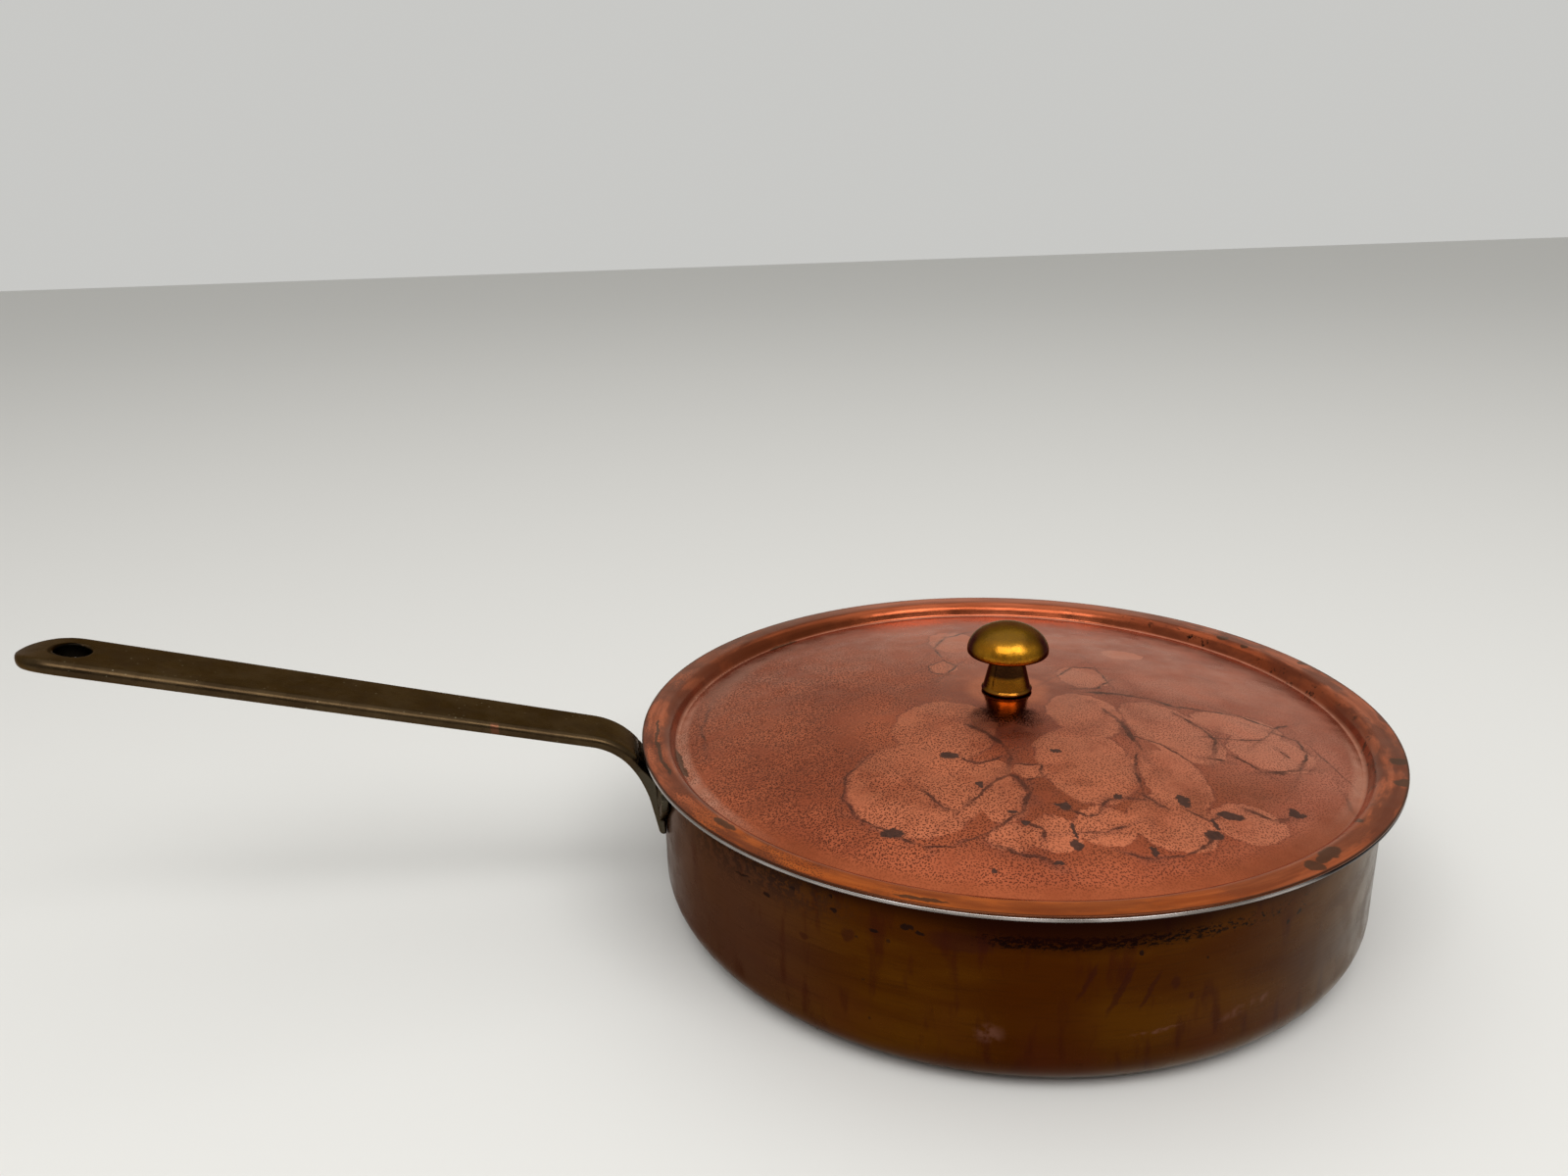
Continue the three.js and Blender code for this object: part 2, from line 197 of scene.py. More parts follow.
def settle(piece):
    """Applies the piece's modifiers."""
    evaluated = piece.evaluated_get(bpy.context.evaluated_depsgraph_get())
    piece.data = bpy.data.meshes.new_from_object(evaluated)
    piece.modifiers.clear()


def combine(piece, other, operation):
    """Joins another solid to the piece, or cuts it away, and removes the other."""
    modifier = piece.modifiers.new("combine", "BOOLEAN")
    modifier.operation = operation
    modifier.object = other
    modifier.solver = "EXACT"
    settle(piece)
    bpy.data.objects.remove(other)


def dress(piece, body, node, finish, sharp=35):
    """Turns a finished piece into metres, shades it and puts it on its body for its CAD node."""
    piece.data.transform(Matrix.Scale(1 / METRE, 4))
    piece.data.shade_smooth()
    piece.data.set_sharp_from_angle(angle=math.radians(sharp))
    piece.data.materials.clear()
    piece.data.materials.append(finish)
    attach(piece, body)
    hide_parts(node)
    return piece


# Pan


def cup(radius, floor, corner, wall):
    """A cup's profile: flat floor, round corner, straight wall, eased rim."""
    ease = min(0.35, wall / 3)
    corners = [
        (0, floor, 0),
        (radius, floor, corner),
        (radius, pan_height, ease),
        (radius - wall, pan_height, ease),
        (radius - wall, floor + wall, corner - wall),
        (0, floor + wall, 0),
    ]
    return rounded(corners, steps=14)


def pan_body(finish):
    piece = turned("pan_copper_wall", cup(pan_radius, 0, pan_corner, pan_copper))
    return dress(piece, "pan", "pan_body", finish)


def pan_lining(finish):
    skin = pan_copper + lining_gap
    profile = cup(pan_radius - skin, skin, pan_corner - skin, pan_wall - skin)
    piece = turned("pan_bright_lining", profile)
    return dress(piece, "pan", "pan_lining", finish)


# Lid


def lid_line(sink, bend):
    """The lid's face from the screw hole to the flange, sunk square to itself."""
    inner_wall = pan_radius - pan_wall
    drop_from = inner_wall - lid_inset
    fold = drop_from - lid_drop_run
    chord = lid_rise + lid_drop
    dome = (fold**2 + chord**2) / (2 * chord)
    centre = Vector((0, dome_top - dome))
    fold_point = Vector((fold, flange_top - lid_drop))
    along = Vector((lid_drop_run, lid_drop)).normalized()
    normal = Vector((-along.y, along.x))
    # The fold's centre lies one bend off the drop's line, and one bend outside the dome.
    start = fold_point + normal * lid_fold_bend - centre
    half_b = start.dot(along)
    rest = start.length_squared - (dome + lid_fold_bend) ** 2
    fold_centre = centre + start + along * (-half_b + math.sqrt(half_b**2 - rest))
    to_dome = fold_centre - centre
    dome_end = math.degrees(math.atan2(to_dome.y, to_dome.x))
    dome_start = math.degrees(math.acos(screw_hole / dome))
    drop_angle = math.degrees(math.atan2(lid_drop, lid_drop_run))
    bend_x = drop_from + bend * math.tan(math.radians(drop_angle / 2))
    bend_y = flange_top - bend
    return [
        *arc(*centre, dome - sink, dome_start, dome_end, steps=48),
        *arc(*fold_centre, lid_fold_bend + sink, dome_end - 180, drop_angle - 90, steps=10)[1:],
        *arc(bend_x, bend_y, bend - sink, 90 + drop_angle, 90, steps=14),
    ]


def lid_shell(finish):
    ease_top = 0.3
    ease_under = 0.24
    edge = [
        (lid_radius, flange_top, ease_top),
        (lid_radius, flange_top - lid_copper, ease_under),
    ]
    top = lid_line(0, lid_roll)
    under = lid_line(lid_copper, lid_bend)
    corners = [(*top[-1], 0), *edge, (*under[-1], 0)]
    profile = [*top, *rounded(corners)[1:-1], *reversed(under)]
    piece = turned("lid_copper_sheet", profile)
    return dress(piece, "lid", "lid_shell", finish)


def lid_lining(finish):
    """The steel sheet under the copper, with the rounded edge that shows all round."""
    top = lid_line(lid_copper + lining_gap, lid_bend)
    under = lid_line(lid_thickness, lid_bend)
    outside = lid_radius - 0.04
    inside = lid_radius - hem_wall
    low = flange_top - hem_depth
    bead_top = 0.68
    bead_foot = 0.78
    ease = 0.1
    corners = [
        (*top[-1], 0),
        (outside, flange_top - lid_copper - lining_gap, bead_top),
        (outside, low, bead_foot),
        (inside, low, ease),
        (inside, under[-1][1], 2 * ease),
        (*under[-1], 0),
    ]
    profile = [*top, *rounded(corners)[1:-1], *reversed(under)]
    piece = turned("lid_steel_sheet", profile)
    return dress(piece, "lid", "lid_lining", finish)


def knob(finish):
    cap_height = 9.6
    lip = 1.1
    foot = 8.6
    foot_height = 0.6
    stem_foot = 8.0
    stem_top = 5.2
    screw_room = 10.3
    ease = 0.3
    hollow_low = 1.2
    hollow_high = 1.4
    widest = knob_top - cap_height
    under = widest - lip
    corners = [
        (0, knob_foot + screw_room, 0),
        (screw_hole, knob_foot + screw_room, 0),
        (screw_hole, knob_foot, 0),
        (foot, knob_foot, ease),
        (foot, knob_foot + foot_height, ease),
        (stem_foot, knob_foot + 2 * foot_height, hollow_low),
        (stem_top, under, hollow_high),
        (knob_radius - lip, under, 0),
    ]
    cap = []
    steps = 40
    for i in range(1, steps + 1):
        angle = math.pi / 2 * i / steps
        cap.append((knob_radius * math.cos(angle), widest + cap_height * math.sin(angle)))
    cap[-1] = (0, knob_top)
    rolled = arc(knob_radius - lip, widest, lip, -90, 0, steps=8)
    profile = [*rounded(corners, steps=8), *rolled[1:], *cap]
    piece = turned("knob_turned_brass", profile, 128)
    return dress(piece, "lid", "knob", finish)


def washer(finish):
    low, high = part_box("knob_washer")
    top = high.z * METRE
    bottom = low.z * METRE
    outside = high.y * METRE
    ease = 0.25
    corners = [
        (screw_hole, top, 0),
        (outside, top, ease),
        (outside, bottom, ease),
        (screw_hole, bottom, 0),
    ]
    piece = turned("knob_steel_washer", rounded(corners), 96)
    return dress(piece, "lid", "knob_washer", finish)


def screw(finish):
    low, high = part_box("knob_screw")
    crown = low.z * METRE
    head = high.y * METRE
    head_height = 2.6
    shank = 2.4
    slot_width = 1.2
    slot_depth = 1.2
    crowning = 0.2
    taper = 0.4
    crown_edge = 0.8
    tip_edge = 0.3
    tip = high.z * METRE
    corners = [
        (0, crown, 0),
        (head - taper, crown + crowning, crown_edge),
        (head, crown + head_height, crowning),
        (shank, crown + head_height, 0),
        (shank, tip, tip_edge),
        (0, tip, 0),
    ]
    piece = turned("knob_steel_screw", rounded(corners), 96)
    cutter = bmesh.new()
    bmesh.ops.create_cube(cutter, size=1)
    bmesh.ops.scale(cutter, vec=(3 * head, slot_width, 2 * slot_depth), verts=cutter.verts)
    bmesh.ops.translate(cutter, vec=(0, 0, crown), verts=cutter.verts)
    combine(piece, mesh_object("slot_cutter", cutter), "DIFFERENCE")
    return dress(piece, "lid", "knob_screw", finish)


# Handle


def handle_line():
    """The handle's underside from the plate's foot to the tip: (reach, height, heading)."""
    reach, height, heading = wall_face + root_stand, plate_bottom, root_angle
    stations = [(reach, height, heading)]

    def straight(length, steps):
        nonlocal reach, height
        for _ in range(steps):
            reach += length / steps * math.cos(math.radians(heading))
            height += length / steps * math.sin(math.radians(heading))
            stations.append((reach, height, heading))

    def bend(radius, to, steps):
        nonlocal reach, height, heading
        turn = (to - heading) / steps
        for _ in range(steps):
            before, after = math.radians(heading), math.radians(heading + turn)
            reach += radius * (math.sin(before) - math.sin(after))
            height += radius * (math.cos(after) - math.cos(before))
            heading += turn
            stations.append((reach, height, heading))

    straight(root_length, steps=8)
    bend(neck_sweep, neck_angle, steps=14)
    bend(neck_turn, handle_slope, steps=26)
    straight((eye_reach - reach) / math.cos(math.radians(heading)), steps=60)
    nose_steps = 26
    for i in range(1, nose_steps):
        along = nose_length * math.sin(math.pi / 2 * i / nose_steps)
        straight((eye_reach + along - reach) / math.cos(math.radians(heading)), steps=1)
        heading = handle_slope - nose_droop * along / nose_length
    return stations


def handle_section(reach, height, heading):
    """A rounded rectangle across the handle at a station of its underside."""
    bar_start = pan_radius + neck_turn
    share = max(0, min(1, (reach - bar_start) / (eye_reach - bar_start)))
    half_width = lerp(*bar_width, share) / 2
    thickness = lerp(*bar_thickness, share)
    sunk = 0
    if heading > neck_angle:
        down = (heading - neck_angle) / (root_angle - neck_angle)
        half_width = lerp(half_width, root_half_width, down)
        thickness *= 1 + down
    if reach > eye_reach:
        nose = math.sqrt(1 - ((reach - eye_reach) / nose_length) ** 2)
        thinned = thickness * lerp(nose_thinning, 1, math.sqrt(nose))
        sunk = (thickness - thinned) / 2
        half_width *= nose
        thickness = thinned
    most_of_half = 0.49
    edge = min(bar_edge, thickness * most_of_half, 2 * half_width * most_of_half)
    lean = math.radians(heading)
    points = []
    for side, up, start in ((1, 0, -90), (1, 1, 0), (-1, 1, 90), (-1, 0, 180)):
        corner = (side * (half_width - edge), thickness - edge if up else edge)
        for y, rise in arc(*corner, edge, start, start + 90, steps=7):
            rise += sunk
            points.append((-(reach - rise * math.sin(lean)), -y, height + rise * math.cos(lean)))
    return points


def lofted(name, sections):
    """A solid through closed sections with equally many points."""
    mesh = bmesh.new()
    rings = [[mesh.verts.new(p) for p in section] for section in sections]
    for low, high in zip(rings, rings[1:]):
        for i in range(len(low)):
            j = (i + 1) % len(low)
            mesh.faces.new((low[i], low[j], high[j], high[i]))
    mesh.faces.new(rings[0])
    mesh.faces.new(rings[-1])
    return mesh_object(name, mesh)


def plate_face(height):
    """How far the plate's outer face stands from the pan's axis at a height."""
    return wall_face + lerp(*plate_thickness, (height - plate_bottom) / (ledge - plate_bottom))


def plate():
    """The plate on the wall: lobes round the rivets, straight flanks, a flat top."""
    rise = rivet_upper - rivet_lower
    distance = math.hypot(rivet_side, rise)
    towards = math.atan2(rise, rivet_side)
    flank = math.degrees(towards - math.acos((lobe_lower - lobe_upper) / distance))
    shoulder = 50
    right = [
        (plate_top_half_width, ledge),
        *arc(rivet_side, rivet_upper, lobe_upper, shoulder, flank, steps=24),
        *arc(0, rivet_lower, lobe_lower, flank, -90, steps=24),
    ]
    outline = [*right, *((-x, y) for x, y in reversed(right[:-1]))]
    past_wall = 20
    ends = (pan_radius - past_wall, pan_radius + past_wall)
    sections = [[(-x, side, height) for side, height in outline] for x in ends]
    slab = lofted("plate_slab", sections)
    profile = [
        (wall_face, 0),
        (plate_face(0), 0),
        (plate_face(ledge), ledge),
        (wall_face, ledge),
    ]
    combine(slab, turned("plate_ring", profile, handle_ring), "INTERSECT")
    return slab


def eye_cutter():
    """The hanging eye, square to the bar, narrower underneath, with a rounded rim."""
    half = bar_thickness[1] / 2
    rim = 0.4
    taper = 0.6
    out = 3
    wide = eye_radius + rim
    profile = [
        (0, -half - out),
        (eye_radius - taper, -half - out),
        *arc(wide, half - rim, rim, 180, 90, steps=8),
        (wide, half + out),
        (0, half + out),
    ]
    reach, height, heading = min(handle_line(), key=lambda s: abs(s[0] - eye_reach))
    lean = math.radians(heading)
    cutter = turned("eye_cutter", profile, 96)
    place = Vector((-reach + half * math.sin(lean), 0, height + half * math.cos(lean)))
    cutter.data.transform(Matrix.Translation(place) @ Matrix.Rotation(lean, 4, "Y"))
    return cutter


def handle(finish):
    piece = lofted("handle_cast_brass", [handle_section(*station) for station in handle_line()])
    combine(piece, plate(), "UNION")
    tall = dome_top + 20
    inside = [(0, 0), (wall_face, 0), (wall_face, tall), (0, tall)]
    combine(piece, turned("wall_cutter", inside, handle_ring), "DIFFERENCE")
    notch = lid_radius + lid_clearance
    lid_room = [(0, ledge), (notch, ledge), (notch, tall), (0, tall)]
    combine(piece, turned("lid_cutter", lid_room, handle_ring), "DIFFERENCE")
    combine(piece, eye_cutter(), "DIFFERENCE")
    remesh = piece.modifiers.new("remesh", "REMESH")
    remesh.mode = "VOXEL"
    remesh.voxel_size = 0.42
    smooth = piece.modifiers.new("smooth", "SMOOTH")
    smooth.factor = 0.5
    smooth.iterations = 6
    settle(piece)
    return dress(piece, "pan", "handle", finish, sharp=80)


def rivet(node, side, height, finish):
    """A rivet along the pan's radius: domed head inside, peened end outside."""
    seat = pan_radius - pan_wall
    end = plate_face(height)
    dome = (rivet_head**2 + rivet_head_height**2) / (2 * rivet_head_height)
    sweep = math.degrees(math.asin(rivet_head / dome))
    head = arc(0, seat - rivet_head_height + dome, dome, -90, -90 + sweep, steps=16)
    head[0] = (0, head[0][1])
    taper = 0.3
    ease = 0.1
    corners = [
        (rivet_shank, end, 0),
        (rivet_end, end, 0),
        (rivet_end - taper, end + rivet_end_height, ease),
        (0, end + rivet_end_height, 0),
    ]
    profile = [*head, (rivet_shank, seat), *rounded(corners)]
    piece = turned(node + "_copper", profile, 64)
    turn = Matrix.Rotation(-math.asin(side / pan_radius), 4, "Z")
    lay = Matrix.Rotation(-math.pi / 2, 4, "Y")
    piece.data.transform(turn @ Matrix.Translation((0, 0, height)) @ lay)
    return dress(piece, "pan", node, finish)


# Materials


class Shader:
    """The shader of a material or of the world, and short names for its nodes."""

    def __init__(self, made, last):
        made.use_nodes = True
        self.made = made
        self.tree = made.node_tree
        self.inputs = self.tree.nodes[last].inputs

    def add(self, kind, **settings):
        made = self.tree.nodes.new("ShaderNode" + kind)
        for name, value in settings.items():
            setattr(made, name, value)
        return made

    def feed(self, socket, value):
        if isinstance(value, bpy.types.NodeSocket):
            self.tree.links.new(value, socket)
        else:
            socket.default_value = value

    def math(self, operation, *values, clamp=False):
        made = self.add("Math", operation=operation, use_clamp=clamp)
        for socket, value in zip(made.inputs, values):
            self.feed(socket, value)
        return made.outputs[0]

    def parts(self, vector):
        """The vector's X, Y and Z."""
        made = self.add("SeparateXYZ")
        self.feed(made.inputs[0], vector)
        return made.outputs

    def ramp(self, value, low, high, start=0, end=1):
        """Turns a value smoothly from start to end as it goes from low to high."""
        made = self.add("MapRange", interpolation_type="SMOOTHSTEP")
        for socket, given in zip(made.inputs, (value, low, high, start, end)):
            self.feed(socket, given)
        return made.outputs[0]


class Finish(Shader):
    """One metal finish. Lengths are in millimetres."""

    def __init__(self, name, **settings):
        super().__init__(bpy.data.materials.new(name), "Principled BSDF")
        for socket, value in settings.items():
            self.inputs[socket.replace("_", " ").title()].default_value = value
        place = self.add("TexCoord").outputs["Object"]
        self.mm = self.scaled(place, METRE, METRE, METRE)
        self.flat = self.scaled(self.mm, 1, 1, 0)

    def vector(self, operation, *values):
        made = self.add("VectorMath", operation=operation)
        for socket, value in zip(made.inputs, values):
            self.feed(socket, value)
        measures = operation in ("LENGTH", "DISTANCE", "DOT_PRODUCT")
        return made.outputs["Value" if measures else "Vector"]

    def scaled(self, vector, x, y, z):
        return self.vector("MULTIPLY", vector, (x, y, z))

    def joined(self, x, y):
        made = self.add("CombineXYZ")
        self.feed(made.inputs[0], x)
        self.feed(made.inputs[1], y)
        return made.outputs[0]

    def noise(self, size, detail=3, roughness=0.5, at=None, output="Fac"):
        """Cloudy noise from 0 to 1, with patches about that wide."""
        made = self.add("TexNoise")
        self.feed(made.inputs["Vector"], at or self.mm)
        made.inputs["Scale"].default_value = 1 / size
        made.inputs["Detail"].default_value = detail
        made.inputs["Roughness"].default_value = roughness
        return made.outputs[output]

    def cells(self, size, at=None, dimensions="3D"):
        """Distance from the nearest of scattered points, as a share of their spacing."""
        made = self.add("TexVoronoi", voronoi_dimensions=dimensions)
        self.feed(made.inputs["Vector"], at or self.mm)
        made.inputs["Scale"].default_value = 1 / size
        return made.outputs["Distance"]

    def between(self, value, low, from_full, to_full, high):
        """1 in the middle of a span of the value, easing to 0 at the span's ends."""
        return self.product(self.ramp(value, low, from_full), self.ramp(value, high, to_full))

    def mix(self, factor, a, b):
        """Colour a, turning into b as the factor goes from 0 to 1."""
        made = self.add("Mix", data_type="RGBA")
        self.feed(made.inputs[0], factor)
        for socket, value in zip((made.inputs[6], made.inputs[7]), (a, b)):
            self.feed(socket, value if isinstance(value, bpy.types.NodeSocket) else (*value, 1))
        return made.outputs[2]

    def coat(self, colour, *shares):
        """Lays a colour over the tone, which it covers by the product of the shares."""
        self.tone = self.mix(self.product(*shares), self.tone, colour)

    def bump(self, height, depth, under=None):
        """A relief of that depth."""
        made = self.add("Bump")
        made.inputs["Distance"].default_value = depth / METRE
        self.feed(made.inputs["Height"], height)
        if under:
            self.feed(made.inputs["Normal"], under)
        return made.outputs["Normal"]

    def reach(self):
        """Distance from the pan's axis."""
        return self.vector("LENGTH", self.flat)

    def wall(self):
        """Place on the pan's wall: length round it from +X, below 0 in front, and height."""
        x, y, z = self.parts(self.mm)
        return self.joined(self.product(self.math("ARCTAN2", y, x), pan_radius), z)

    def ring_place(self):
        """Place on the lid's rim: length round it, and distance from the axis."""
        return self.joined(self.parts(self.wall())["X"], self.reach())

    def rings(self):
        """A place that changes with distance from the axis, for the marks of a lathe."""
        return self.joined(self.reach(), self.parts(self.mm)["Z"])

    def turn(self, vector, degrees):
        made = self.add("VectorRotate", rotation_type="Z_AXIS")
        self.feed(made.inputs["Vector"], vector)
        made.inputs["Angle"].default_value = math.radians(degrees)
        return made.outputs[0]

    def warp(self, vector, size, shift):
        """The vector moved by up to about that shift, in waves of that size."""
        stretch = shift * 4  # the noise seldom strays more than a quarter from its middle
        waves = self.noise(size, 2, output="Color")
        centred = self.vector("SUBTRACT", waves, (0.5, 0.5, 0.5))
        return self.vector("ADD", vector, self.scaled(centred, stretch, stretch, 0))

    def oval(self, vector, x, y, length, width, turn=0):
        """0 at x, y and 1 on the oval with those half sizes, squared in between and beyond."""
        away = self.vector("SUBTRACT", vector, (x, y, 0))
        cos, sin = math.cos(math.radians(turn)), math.sin(math.radians(turn))
        along = self.vector("DOT_PRODUCT", away, (cos / length, sin / length, 0))
        across = self.vector("DOT_PRODUCT", away, (-sin / width, cos / width, 0))
        return self.math("MULTIPLY_ADD", across, across, self.math("MULTIPLY", along, along))

    def nearest(self, vector, ovals):
        """0 at the centre of the nearest oval and 1 on its outline.

        The least is kept up as each oval is made, because Cycles runs the nodes in that order and
        has little room for values that wait.
        """
        least = None
        for oval in ovals:
            made = self.oval(vector, *oval)
            least = self.math("MINIMUM", least, made) if least else made
        return self.math("SQRT", least)

    def product(self, *values):
        total = values[0]
        for value in values[1:]:
            total = self.math("MULTIPLY", total, value)
        return total

    def inverse(self, value):
        return self.math("SUBTRACT", 1, value)

    def marks(self, vector, ovals, soft=0.2):
        """1 inside any of the ovals."""
        return self.ramp(self.nearest(vector, ovals), 1 + soft, 1 - soft)

    def finish(self, rough, normal):
        found = {"Base Color": self.tone, "Roughness": rough, "Normal": normal}
        for socket, value in found.items():
            self.feed(self.inputs[socket], value)
        return self.made


# The lid's marks lie in axes of its own, turned by this from the pan's: x runs to the right in the
# front view, and y away from it.
lid_turn = 8

# Pale puddles left by old water: centre, half sizes, turn
puddles = (
    (-38, -60, 21, 25), (-14, -69, 8, 12), (-27, -63, 9, 10), (-25, -28, 17, 20),
    (-3, -56, 5, 4), (-14, -54, 6, 5), (15, -52, 15, 22), (22, -21, 12, 17),
    (48, -30, 13, 22, 20), (72, -22, 15, 9, -10), (77, -39, 14, 12), (-11, 57, 9, 17),
    (-19, 24, 5, 7), (29, 11, 9, 11), (51, 40, 8, 6), (33, -81, 13, 13), (13, -83, 9, 9),
    (-2, -86, 8, 8), (-14, -87, 7, 6), (55, -80, 11, 9), (6, -42, 5, 5), (40, -60, 10, 17),
)

# Dark veins between them: half width, points
veins = (
    (
        0.9,
        ((-17, -27), (-12, -33), (-9, -40), (-7, -47), (-10, -57), (-7, -60), (-5, -67), (-9, -76)),
    ),
    (0.45, ((-9, -47), (-17, -51), (-23, -47))),
    (0.55, ((-10, -58), (-15, -61), (-19, -66), (-27, -74), (-31, -72), (-36, -63))),
    (0.4, ((-7, -52), (1, -53), (0, -59), (-5, -61))),
    (0.5, ((-52, -43), (-58, -50), (-60, -62), (-56, -73), (-47, -81))),
    (0.5, ((-46, -82), (-39, -88), (-31, -89), (-20, -84), (-9, -76))),
    (0.6, ((-10, -80), (-5, -84), (-5, -88))),
    (0.9, ((-19, -90), (-13, -94), (-8, -95), (-4, -99))),
    (0.5, ((4, -76), (9, -79), (13, -77), (17, -71), (22, -70), (28, -71))),
    (0.9, ((27, -3), (38, -4), (47, -6), (55, -12))),
    (0.5, ((55, -12), (66, -13), (75, -14), (85, -21), (91, -17))),
    (0.7, ((53, -17), (59, -27), (61, -35), (57, -44))),
    (0.4, ((60, -33), (69, -33), (77, -31), (84, -23))),
    (0.55, ((83, -24), (90, -28), (90, -36), (83, -48), (70, -52), (63, -44))),
    (0.35, ((93, -30), (95, -42), (97, -52))),
    (0.8, ((29, -17), (33, -27), (34, -42))),
    (0.6, ((32, -46), (29, -56), (28, -69), (33, -75))),
    (0.4, ((34, -35), (42, -40), (48, -50))),
    (0.5, ((16, -94), (23, -97), (32, -95), (40, -90), (43, -86))),
    (0.35, ((39, -76), (44, -80), (48, -77))),
    (0.4, ((7, -86), (13, -86), (19, -83))),
    (0.8, ((57, -73), (63, -78), (68, -76))),
    (0.4, ((20, 12), (28, 21), (36, 21), (37, 7), (31, 0), (23, 0))),
    (0.5, ((-18, 36), (-19, 48), (-13, 63), (-2, 72))),
    (0.4, ((-24, 26), (-18, 32), (-14, 24), (-19, 16), (-24, 19), (-24, 26))),
    (0.4, ((-104, 15), (-106, 0), (-104, -14))),
    (0.7, ((54, -47), (59, -48))),
    (0.8, ((73, -52), (77, -51))),
    (0.6, ((63, -43), (65, -46))),
    (0.6, ((81, -38), (82, -41))),
    (0.7, ((92, -61), (90, -72))),
)

# Spots of burnt food on the dome and on the flange: centre, half sizes, turn
dome_spots = (
    (-47, -81, 3.6, 2.0, -8), (-26, -45, 2.9, 2.0, -12), (4, -74, 1.7, 2.1),
    (3, -74, 2.8, 0.7, -20), (3, -91, 1.8, 2.4), (4, -85, 0.6, 3.6), (39, -71, 1.7, 3.2, 15),
    (39, -70, 2.4, 1.3, -10), (51, -77, 3.9, 1.9, -5), (43, -86, 2.6, 2.3),
    (45, -81, 0.8, 2.6), (71, -73, 1.5, 2.6), (72, -74, 2.9, 0.9, 15), (24, -94, 0.9, 2.3),
    (20, -69.5, 1.5, 1.1), (-12, -76, 1.5, 1.0), (-9, -81, 1.1, 1.2), (-3, -98, 1.3, 0.9),
    (-19, -62, 1.2, 1.6), (7, -45, 2.0, 1.2), (-21, -100, 0.7, 1.0),
)
flange_spots = (
    (70, -99, 4.6, 2.2, 40), (67, -102, 3, 1.6, 40), (63, -105, 2.4, 2.8, 30),
    (86, -81, 1.0, 2.0), (115, -46, 3.4, 2.2, -10), (110, -60, 3.8, 2.8, -10),
    (99, 67, 2.6, 1.4, -50), (104, 57, 2.0, 1.2, -50), (119, 37, 2.3, 1.6, -60),
    (41, 101, 2.4, 1.4), (-77, 84, 8, 1.0, 42), (-95, -74, 5, 1.4, -50),
    (-43, -116, 7, 0.8, -20), (-120.5, -8, 9, 0.6, 94), (-119, -22, 9, 0.7, 100),
    (-115.5, -35, 7, 0.7, 107), (-112.4, -20, 7, 1.2, 101), (-110, -29, 4.5, 1.2, 105),
)

# Marks on the wall: centre as length round it and height, half sizes, turn
wall_specks = (
    (-297.4, 44.7, 1.6, 0.9), (-307.7, 46.8, 3.4, 0.4, 8), (-287.3, 50.5, 0.9, 0.6),
    (-274.8, 52.4, 0.6, 0.6), (-273.7, 48.2, 1.0, 0.5), (-261.6, 45.3, 1.4, 0.8),
    (-252.5, 48.8, 2.0, 0.9), (-249, 47.6, 1.2, 0.8), (-191.2, 44.6, 0.8, 0.8),
    (-172.2, 40.2, 0.5, 0.5), (-141, 45.5, 1.3, 0.5, 30), (-145, 43.6, 1.0, 0.5, 40),
)
wall_stains = (
    (-269.5, 41.8, 2.1, 2.2), (-180.9, 34.4, 1.3, 1.9), (-176.2, 29.6, 0.8, 0.9),
    (-283.9, 36.4, 1.6, 0.8), (-205, 37, 0.8, 6, -25), (-196, 34, 1.0, 8, -25),
    (-188, 33, 0.7, 6, -25), (-238, 47, 9, 3),
)
# A painted shadow under the lid's hem, in front
wall_hem_shadow = ((-206, 53, 36, 6.5),)
wall_smudges = (
    (-229.8, 19.7, 3.3, 2.6), (-159.9, 20.7, 5.2, 1.2, 15), (-151.2, 22, 1.5, 1.0, 30),
    (-185.4, 19.9, 5.6, 0.5, 5),
)


def strokes(half_width, points):
    """Ovals laid end to end along a line."""
    overlap = 0.62
    ovals = []
    for (x0, y0), (x1, y1) in zip(points, points[1:]):
        half_length = math.hypot(x1 - x0, y1 - y0) * overlap
        turn = math.degrees(math.atan2(y1 - y0, x1 - x0))
        ovals.append(((x0 + x1) / 2, (y0 + y1) / 2, half_length, half_width, turn))
    return ovals


def lid_zones(f):
    """Places on the lid, and how far a point is in each zone, from 0 to 1."""
    lid = SimpleNamespace()
    lid.place = f.turn(f.flat, lid_turn)
    lid.reach = f.reach()
    lid.away = f.parts(lid.place)["Y"]
    lid.across = f.parts(lid.place)["X"]
    lid.uneven = f.math("ADD", lid.reach, f.noise(9, 4, 0.6))
    lid.near = f.ramp(lid.away, -50, -85)
    lid.rim = f.ramp(f.math("SUBTRACT", lid.uneven, f.product(lid.near, 2.5)), 109, 118)
    lid.fold = f.product(f.between(lid.reach, 109.5, 112, 114.4, 115.4), f.inverse(lid.near))
    lid.groove = f.between(lid.reach, 113.8, 115.4, 116.2, 119.5)
    lid.loose = f.warp(f.warp(lid.place, 6, 0.9), 2, 0.5)
    lid.ragged = f.warp(f.warp(lid.place, 6, 0.6), 1.6, 0.3)
    return lid


